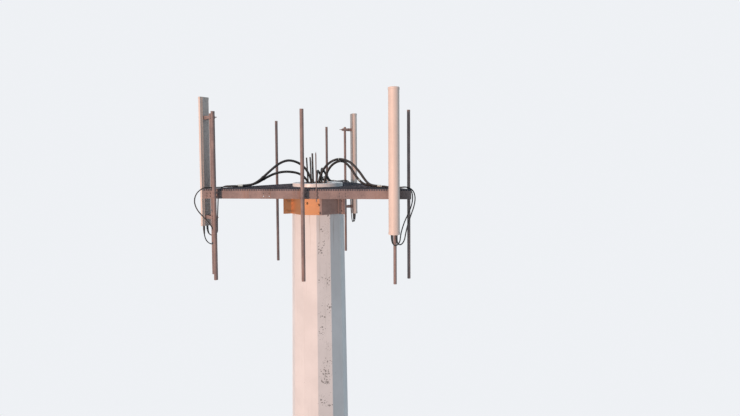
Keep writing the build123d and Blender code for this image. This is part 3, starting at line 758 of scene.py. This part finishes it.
# Pole: its sections as (bottom, top, how many walls lie outside it), and its weld beads; the foot bead's
# outline is in pairs of out and up
POLE_SIDES = 12
POLE_TURN = 9.1
POLE_TOP = 1.070
POLE_TAPER = 0.024
WALL_STEP = 0.0103
FLANGE_TOP = 0.060
COLLAR_BOTTOM = DECK - 0.54
SECTIONS = ((FLANGE_TOP, 12.0, 2), (12.0, 24.2, 1), (24.2, COLLAR_BOTTOM, 0))
SEAM_BEAD = 0.005
SEAM_BEAD_SIDES = 8
FOOT_BEAD = 0.014
FOOT_BEAD_OUTLINE = (
    (-0.003, -SINK), (FOOT_BEAD, -SINK), (FOOT_BEAD, 0.002), (0.002, FOOT_BEAD), (-0.003, FOOT_BEAD))


def pole_corner(height, walls_outside):
    """Distance from the axis to a corner of the section with so many walls outside it."""
    inset = walls_outside * WALL_STEP / math.cos(math.pi / POLE_SIDES)
    return (POLE_TOP + POLE_TAPER * (DECK - height)) / 2 - inset


def add_seam_beads(beads):
    """Beads up both seams of each section."""
    for (low, high, walls_outside), turn in product(SECTIONS, (POLE_TURN, POLE_TURN + 180)):
        rings = []
        for height in (low + SINK, high - SINK):
            middle = unit(turn) * (pole_corner(height, walls_outside) - SINK) + UP * height
            rings.append([middle + unit(step * 360 / SEAM_BEAD_SIDES) * SEAM_BEAD
                          for step in range(SEAM_BEAD_SIDES)])
        beads.join(rings)


def add_foot_bead(beads):
    """The bead round the foot of the lowest section, on its flange."""
    corner = pole_corner(FLANGE_TOP, SECTIONS[0][2])
    rings = []
    for out, rise in FOOT_BEAD_OUTLINE:
        rings.append([unit(POLE_TURN + step * 360 / POLE_SIDES) * (corner + out) + UP * (FLANGE_TOP + rise)
                      for step in range(POLE_SIDES)])
    beads.join(rings, loop=True)


def add_pole_weld_beads():
    """The pole's weld beads as one piece."""
    beads = Solids()
    add_seam_beads(beads)
    add_foot_bead(beads)
    beads.piece("pole_weld_beads", "painted_pole")


# Entry port's cover: direction, height and distance of its face, and half its straight side and its arc
COVER_TURN = 84.1
COVER_HEIGHT = 1.400
COVER_FACE = 0.9722
SCREW_STRAIGHT = 0.170
SCREW_ARC = 0.147


def add_cover_screws():
    """Screws round the entry port's cover."""
    screws = Solids()
    middle = unit(COVER_TURN) * COVER_FACE + UP * COVER_HEIGHT
    cover = foot_at(middle, unit(COVER_TURN), UP)
    slant = SCREW_ARC * math.sqrt(0.5)
    half = ((SCREW_STRAIGHT + SCREW_ARC, 0), (SCREW_STRAIGHT + slant, slant), (0, SCREW_ARC),
            (-SCREW_STRAIGHT - slant, slant))
    for (x, y), side in product(half, SIDES):
        add_bolt(screws, cover @ Matrix.Translation((side * x, side * y, 0)), COVER_SCREW)
    screws.piece("cover_screws", "galvanised", BOLT_FORMS)


# Collar: its rods and the faces of its ears, and the bolts through each plate as (along the face, up)
ROD_OUT = 0.678
ROD_HEIGHTS = (-0.262, -0.468)
EAR_FACE = 0.0243
COLLAR_OUT = 0.5537
COLLAR_BOLTS = ((0.133, -0.326), (0.151, -0.493), (-0.109, -0.293))


def add_collar_rod_nuts():
    """Nuts, lock nuts and threads on both ends of the collar's rods."""
    nuts = Solids()
    for turn, height, side in product(CORNERS, ROD_HEIGHTS, SIDES):
        foot = foot_at(place(turn, ROD_OUT, 0, height), unit(turn + 90) * side)
        add_bolt(nuts, foot, COLLAR_ROD, EAR_FACE)
    nuts.piece("collar_rod_nuts", "galvanised", BOLT_FORMS)


def add_collar_bolts():
    """Bolts through the collar's plates."""
    bolts = Solids()
    for turn, (along, height) in product(FACES.values(), COLLAR_BOLTS):
        add_bolt(bolts, foot_at(place(turn, COLLAR_OUT, along, height), unit(turn)), COLLAR_BOLT)
    bolts.piece("collar_bolts", "galvanised", BOLT_FORMS)


# Beams and clamps: distances of a corner plate's wing and of the bolts along the face and from the beam's
# middle line, and the pipes of each face as (slot, radius)
WEB_INSIDE = FACE_OUT - BEAM_WEB
WING_INSIDE = WEB_INSIDE - CORNER_PLATE
WING_START = 1.672
CLAMP_PLATE = 0.010
CLAMP_BOLT_ALONG = 0.074
CLAMP_BOLT_RISE = 0.053
CLAMP_HEAD_TURN = 0.4
CORNER_BOLTS = (1.848, 1.916)
CORNER_BOLT_RISE = 0.0285
CORNER_HEAD_TURN = 0.25
SLOTS = (-1, 0, 1)
PIPES = {
    "front": ((-1, THICK_PIPE), (0, THICK_PIPE), (1, THIN_PIPE)),
    "right": ((-1, THIN_PIPE), (1, THIN_PIPE)),
    "left": ((-1, THIN_PIPE), (0, THIN_PIPE), (1, THIN_PIPE)),
}
CLAMP_HEIGHTS = (-0.034, -0.118)
U_BOLT = 0.006


def behind_beam(turn, at, height):
    """Seat of a nut behind a beam, where a corner plate's wing may lie."""
    back = WING_INSIDE if abs(at) > WING_START else WEB_INSIDE
    return foot_at(place(turn, back, at, height), -unit(turn))


def add_clamp_bolts(bolts, turn):
    """Four bolts through each clamp plate of a face and the beam behind it."""
    for slot, side, level in product(SLOTS, SIDES, SIDES):
        at = slot * PIPE_ALONG + side * CLAMP_BOLT_ALONG
        height = level * CLAMP_BOLT_RISE - BEAM_DEPTH / 2
        outer = foot_at(place(turn, FACE_OUT + CLAMP_PLATE, at, height), unit(turn))
        add_bolt(bolts, outer, BEAM_BOLT_HEAD, turn=CLAMP_HEAD_TURN * level)
        add_bolt(bolts, behind_beam(turn, at, height), BEAM_BOLT_TAIL)


def add_corner_bolts(bolts, turn):
    """Heads of the bolts at both ends of a face's beam."""
    for side, at, level in product(SIDES, CORNER_BOLTS, SIDES):
        height = level * CORNER_BOLT_RISE - BEAM_DEPTH / 2
        outer = foot_at(place(turn, FACE_OUT, side * at, height), unit(turn))
        add_bolt(bolts, outer, BEAM_BOLT_HEAD, turn=CORNER_HEAD_TURN)


def add_beam_bolts():
    """All bolts of the three beams as one piece."""
    bolts = Solids()
    for turn in FACES.values():
        add_clamp_bolts(bolts, turn)
        add_corner_bolts(bolts, turn)
    bolts.piece("beam_bolts", "galvanised", BOLT_FORMS)


def add_u_bolt_nuts():
    """Nuts and threads of the U-bolts, behind the beams."""
    nuts = Solids()
    for face, turn in FACES.items():
        for (slot, radius), height, side in product(PIPES[face], CLAMP_HEIGHTS, SIDES):
            at = slot * PIPE_ALONG + side * (radius + SEAT_GAP + U_BOLT)
            add_bolt(nuts, behind_beam(turn, at, height), U_BOLT_TAIL)
    nuts.piece("u_bolt_nuts", "galvanised", BOLT_FORMS)


# Antenna brackets: heights, the jaws' outer faces from the pipe's axis, and their long bolts
BRACKET_HEIGHTS = (1.420, -0.560)
JAW_DEPTH = 0.034
JAW_OUTSIDE = THIN_PIPE + SEAT_GAP + JAW_DEPTH
BRACKET_BOLT_ALONG = 0.044


def add_bracket_nuts():
    """Nuts and threads on the antenna brackets' long bolts."""
    nuts = Solids()
    for face, turn in FACES.items():
        for level, side in product(BRACKET_HEIGHTS, SIDES):
            at = PIPE_ALONG + side * BRACKET_BOLT_ALONG
            middle = place(turn, PIPE_OUT, at, level + ANTENNA_DROPS[face])
            add_bolt(nuts, foot_at(middle, -unit(turn)), BRACKET_BOLT_TAIL, JAW_OUTSIDE)
            add_bolt(nuts, foot_at(middle, unit(turn)), BRACKET_BOLT_HEAD, JAW_OUTSIDE)
    nuts.piece("bracket_nuts", "galvanised", BOLT_FORMS)


# Grating: bearing bars stand at a pitch along each face, and cross rods lie at a pitch in from its edge
GRATING_EDGE = 0.012
GRATING_OUT = FACE_OUT - GRATING_EDGE
GRATING_BAND = 0.006
GRATING_DEPTH = 0.032
GRATING_POLE = 0.585
BAR_PITCH = 0.030
BARS_PER_CAD_BAR = 4
BAR_THICKNESS = 0.0045
BAR_RISE = 0.0005
ROD_PITCH = 0.100
RODS_PER_CAD_ROD = 3
ROD_SIZE = 0.0065
PANEL_JOINT = 0.006
HALF_PANEL = math.radians(60)
PANEL_SLOPE = math.tan(HALF_PANEL)
PANEL_START = PANEL_JOINT / 2 / math.sin(HALF_PANEL) + GRATING_BAND / 2
PANEL_END = GRATING_OUT - GRATING_BAND / 2
INNER_BAND = GRATING_POLE + GRATING_BAND / 2
BAR_END_PITCH = 0.045
BAR_END_WIDTH = 0.016
BAR_END_PROUD = 0.005
BAR_END_LOW = 0.001
BAR_END_HIGH = GRATING_DEPTH - 0.002


def panel_at(turn):
    """Axes of a face's grating: X out, Y along the face, Z up from the deck."""
    return foot_at(UP * DECK, UP, unit(turn))


def add_bearing_bars(solids, panel):
    """The bars between those of the CAD panel."""
    steps = int((PANEL_END - PANEL_START) * PANEL_SLOPE / BAR_PITCH)
    for step in range(-steps, steps + 1):
        at = step * BAR_PITCH
        start = PANEL_START + abs(at) / PANEL_SLOPE
        if abs(at) < INNER_BAND:
            start = max(start, math.sqrt(INNER_BAND ** 2 - at ** 2))
        if step % BARS_PER_CAD_BAR and start < PANEL_END - BAR_PITCH / 2:
            solids.block(panel, (start, at - BAR_THICKNESS / 2, BAR_RISE),
                         (PANEL_END, at + BAR_THICKNESS / 2, GRATING_DEPTH))


def add_cross_rods(solids, panel):
    """The rods between those of the CAD panel, on both sides of the pole where they meet it."""
    for row in range(int(GRATING_OUT / ROD_PITCH)):
        out = GRATING_OUT - ROD_PITCH * (row + 0.5)
        if row % RODS_PER_CAD_ROD == 1 or out < PANEL_START + ROD_PITCH / 2:
            continue
        far = (out - PANEL_START) * PANEL_SLOPE
        near = math.sqrt(INNER_BAND ** 2 - out ** 2) if out < INNER_BAND else 0
        for side in SIDES:
            if far > near:
                low, high = sorted((side * near, side * far))
                solids.block(panel, (out - ROD_SIZE / 2, low, GRATING_DEPTH - ROD_SIZE),
                             (out + ROD_SIZE / 2, high, GRATING_DEPTH + BAR_RISE))


def add_grating_bars():
    """Bearing bars and cross rods of the three panels."""
    for face, turn in FACES.items():
        bars = Solids()
        add_bearing_bars(bars, panel_at(turn))
        add_cross_rods(bars, panel_at(turn))
        bars.piece("grating_bars_" + face, "grating")


def add_grating_bar_ends():
    """Ends of the bearing bars, welded through the panels' outer bands."""
    ends = Solids()
    for turn in FACES.values():
        panel = panel_at(turn)
        count = int((GRATING_OUT * PANEL_SLOPE - BAR_END_PITCH) / BAR_END_PITCH)
        for step in range(-count, count + 1):
            at = step * BAR_END_PITCH
            ends.block(panel, (GRATING_OUT - SINK, at - BAR_END_WIDTH / 2, BAR_END_LOW),
                       (GRATING_OUT + BAR_END_PROUD, at + BAR_END_WIDTH / 2, BAR_END_HIGH))
    ends.piece("grating_bar_ends", "galvanised")


# Thin air rod in front of the front beam: its profile as (radius, height), and its two saddles, each a
# strip against the beam with an arch over the rod
AIR_ROD = 0.010
ROD_ALONG = 0.240
ROD_LOW = -0.205
ROD_HIGH = 0.725
ROD_PROFILE = (
    (AIR_ROD * 0.8, ROD_LOW), (AIR_ROD, ROD_LOW + 0.004), (AIR_ROD, ROD_HIGH - 0.06),
    (AIR_ROD * 0.35, ROD_HIGH))
ROD_SIDES = 16
ROD_STANDOFF = 0.006
SADDLE_HEIGHTS = (-0.045, -0.115)
SADDLE_HALF = 0.012
SADDLE_LIP = -AIR_ROD * 0.2
SADDLE_WALL = 0.003
STRIP_HALF = 0.030
ARCH_HALF = 0.016
SADDLE_BOLT_ALONG = 0.023


def add_air_rod():
    """The pointed rod, its saddles and their nuts."""
    rod = Solids()
    turn = FACES["front"]
    foot = foot_at(place(turn, FACE_OUT + AIR_ROD + ROD_STANDOFF, ROD_ALONG, 0), UP, unit(turn))
    rod.lathe(foot, ROD_PROFILE, ROD_SIDES)
    for height in SADDLE_HEIGHTS:
        low, high = height - SADDLE_HALF, height + SADDLE_HALF
        rod.block(foot, (-AIR_ROD - ROD_STANDOFF, -STRIP_HALF, low), (SADDLE_LIP, STRIP_HALF, high))
        rod.block(foot, (SADDLE_LIP, -ARCH_HALF, low), (AIR_ROD + SADDLE_WALL, ARCH_HALF, high))
        for side in SIDES:
            seat = foot @ Vector((SADDLE_LIP, side * SADDLE_BOLT_ALONG, height))
            add_bolt(rod, foot_at(seat, unit(turn)), SADDLE_BOLT)
    rod.piece("air_rod", "galvanised", BOLT_FORMS)


# Antennas: section of the radome, its end caps as (height beyond the end, growth), and its ports
RADOME_WIDTH = 0.195
SIDE_DEPTH = 0.045
FRONT_DEPTH = 0.078
ARC_STEPS = 24
RADOME_OUT = PIPE_OUT + ANTENNA_BACK_OUT + BACK_DEPTH
CAP_PROUD = 0.004
CAP_SKIRT = 0.038
CAP_OUTLINE = (
    (-CAP_SKIRT, CAP_PROUD * 0.4), (-CAP_SKIRT + 0.003, CAP_PROUD), (0.001, CAP_PROUD),
    (0.006, CAP_PROUD * 0.3), (0.009, -0.012))
PORT_SPACING = 0.080


def radome_outline(grow):
    """Section of the radome as (out, along) pairs, grown outwards, and half as much at the flat back."""
    half = RADOME_WIDTH / 2 + grow
    depth = FRONT_DEPTH + grow
    radius = (half ** 2 + depth ** 2) / (2 * depth)
    middle = SIDE_DEPTH + depth - radius
    reach = math.asin(half / radius) if depth < half else math.pi - math.asin(half / radius)
    arc = []
    for step in range(ARC_STEPS + 1):
        angle = -reach + 2 * reach * step / ARC_STEPS
        arc.append((middle + radius * math.cos(angle), radius * math.sin(angle)))
    return [(-grow * 0.5, -half), *arc, (-grow * 0.5, half)]


def add_antenna_caps():
    """Caps over both ends of each radome."""
    for face, turn in FACES.items():
        caps = Solids()
        base = ANTENNA_BOTTOM + ANTENNA_DROPS[face]
        for end, upwards in ((base + ANTENNA_LENGTH, 1), (base, -1)):
            foot = foot_at(place(turn, RADOME_OUT, PIPE_ALONG, end), UP, unit(turn))
            rings = [[foot @ Vector((x, y, upwards * height)) for x, y in radome_outline(grow)]
                     for height, grow in CAP_OUTLINE]
            caps.join(rings if upwards > 0 else rings[::-1])
        caps.piece("antenna_caps_" + face, "radome", ROUND_FORMS)


def add_antenna_port_nuts():
    """Coupling nuts of the two ports under each antenna."""
    nuts = Solids()
    for face, turn in FACES.items():
        for side in SIDES:
            at = PIPE_ALONG + side * PORT_SPACING / 2
            bottom = place(turn, RADOME_OUT + SIDE_DEPTH, at, ANTENNA_BOTTOM + ANTENNA_DROPS[face])
            add_bolt(nuts, foot_at(bottom, -UP), PORT_COUPLING, turn=side)
    nuts.piece("antenna_port_nuts", "connector", BOLT_FORMS)


# Stage, background and light
STAGE_RADIUS = 40.0
STAGE_SIDES = 96
FLOOR_DARK, FLOOR_LIGHT = (0.80, 0.80, 0.80), (0.84, 0.84, 0.84)
FLOOR_SEEN = (0.84, 0.85, 0.87)
FLOOR_SEEN_SHARE = 0.78
BACKDROP = (0.86, 0.88, 0.91)
AMBIENT = (0.70, 0.86, 1.0)
AMBIENT_STRENGTH = 0.42
SUN = (1.0, 0.62, 0.46)
SUN_STRENGTH = 2.6
SUN_WIDTH = 5.0
SUN_TURN = -120
SUN_HEIGHT = 3.0
SUN_RISE = 6


def add_floor():
    """Pale round floor, which keeps the tower's shadow and shows mostly its plain colour to the camera."""
    mesh = bpy.data.meshes.new("floor")
    rim = [tuple(point) for point in circle(STAGE_RADIUS, STAGE_SIDES)]
    mesh.from_pydata(rim, [], [tuple(range(STAGE_SIDES))])
    floor = bpy.data.objects.new("floor", mesh)
    scene.collection.objects.link(floor)
    s = Shader("floor")
    tone = s.mix(s.noise(0.6, 3.0), rgb(*FLOOR_DARK), rgb(*FLOOR_LIGHT))
    floor.data.materials.append(s.finish(tone, s.between(s.noise(2.0), 0.8, 0.9)))
    seen = s.times(s.add("ShaderNodeLightPath").outputs["Is Camera Ray"], FLOOR_SEEN_SHARE)
    plain = s.add("ShaderNodeEmission", (("Color", rgb(*FLOOR_SEEN)), ("Strength", 1.0))).outputs[0]
    blend = s.add("ShaderNodeMixShader", ((0, seen), (1, s.surface.outputs[0]), (2, plain)))
    s.links.new(blend.outputs[0], s.nodes["Material Output"].inputs["Surface"])


def add_world():
    """A faint blue light from all sides, and a pale background for the camera, metal and glass."""
    world = bpy.data.worlds.new("studio")
    world.use_nodes = True
    scene.world = world
    nodes, links = world.node_tree.nodes, world.node_tree.links
    backdrop = nodes["Background"]
    backdrop.inputs["Color"].default_value = rgb(*BACKDROP)
    backdrop.inputs["Strength"].default_value = 1.0
    ambient = nodes.new("ShaderNodeBackground")
    ambient.inputs["Color"].default_value = rgb(*AMBIENT)
    ambient.inputs["Strength"].default_value = AMBIENT_STRENGTH
    ray = nodes.new("ShaderNodeLightPath")
    shown = ray.outputs["Is Camera Ray"]
    for kind in ("Is Glossy Ray", "Is Transmission Ray"):
        either = nodes.new("ShaderNodeMath")
        either.operation = "MAXIMUM"
        links.new(shown, either.inputs[0])
        links.new(ray.outputs[kind], either.inputs[1])
        shown = either.outputs[0]
    choice = nodes.new("ShaderNodeMixShader")
    links.new(shown, choice.inputs[0])
    links.new(ambient.outputs[0], choice.inputs[1])
    links.new(backdrop.outputs[0], choice.inputs[2])
    links.new(choice.outputs[0], nodes["World Output"].inputs["Surface"])


def add_sun():
    """One low and faintly warm sun from the left front."""
    data = bpy.data.lights.new("low_sun", "SUN")
    data.color = SUN
    data.energy = SUN_STRENGTH
    data.angle = math.radians(SUN_WIDTH)
    sun = bpy.data.objects.new("low_sun", data)
    sun.rotation_mode = "QUATERNION"
    shine = -unit(SUN_TURN) - UP * math.tan(math.radians(SUN_HEIGHT))
    sun.rotation_quaternion = shine.to_track_quat("-Z", "Y")
    sun.location = (0, 0, DECK + SUN_RISE)
    scene.collection.objects.link(sun)


add_camera()
dress_frame()
lines = add_cables()
add_jumper_sleeves(lines)
add_feeder_straps(lines)
add_pole_weld_beads()
add_cover_screws()
add_collar_rod_nuts()
add_collar_bolts()
add_beam_bolts()
add_u_bolt_nuts()
add_bracket_nuts()
add_grating_bars()
add_grating_bar_ends()
add_air_rod()
add_antenna_caps()
add_antenna_port_nuts()
add_floor()
add_world()
add_sun()
scene.view_settings.view_transform = "Standard"
